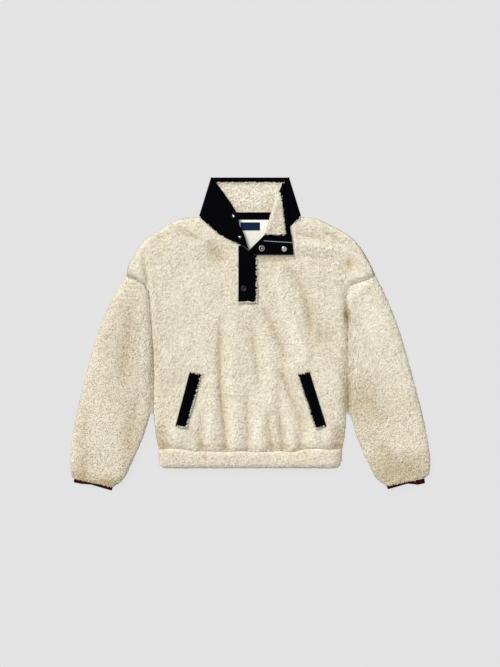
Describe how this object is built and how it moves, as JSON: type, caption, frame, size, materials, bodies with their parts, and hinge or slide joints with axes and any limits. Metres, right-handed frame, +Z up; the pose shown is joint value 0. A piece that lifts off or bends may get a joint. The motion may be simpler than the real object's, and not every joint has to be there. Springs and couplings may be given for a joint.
{
  "type": "sherpa fleece pullover laid flat",
  "caption": "Cream sherpa fleece pullover laid flat, with a navy half-snap stand collar turned back on one side and slanting navy pocket welts.",
  "frame": {"origin": "middle of the garment's outline, on the surface it lies on", "axes": "+Z up from the surface, +Y from hem to collar, +X to the wearer's left sleeve"},
  "size_m": [0.8458, 0.7354, 0.0232],
  "materials": {
    "sherpa_fleece": "curly sherpa pile",
    "navy_woven": "plain woven, matt",
    "label_blue": "plain woven label",
    "cuff_binding_red": "bound elastic edge",
    "snap_steel": "polished nickel",
    "snap_dark": "tone in tone enamel"
  },
  "bodies": {
    "root": {"front_panel": "sherpa_fleece", "back_panel": "sherpa_fleece", "sleeve_right": "sherpa_fleece", "sleeve_left": "sherpa_fleece", "hem_band": "sherpa_fleece", "collar_lining": "sherpa_fleece", "collar_outer": "navy_woven", "collar_edge_facing": "navy_woven", "placket_overlap": "navy_woven", "placket_underlap": "navy_woven", "placket_band_turned": "navy_woven", "neck_tape": "navy_woven", "pocket_welt_right": "navy_woven", "pocket_welt_left": "navy_woven", "neck_label": "label_blue", "cuff_binding_right": "cuff_binding_red", "cuff_binding_left": "cuff_binding_red", "snap_socket": "snap_steel", "snap_cap": "snap_steel", "snap_stud_lower": "snap_steel", "snap_stud_upper": "snap_steel", "snap_closed": "snap_dark"}
  },
  "joints": []
}
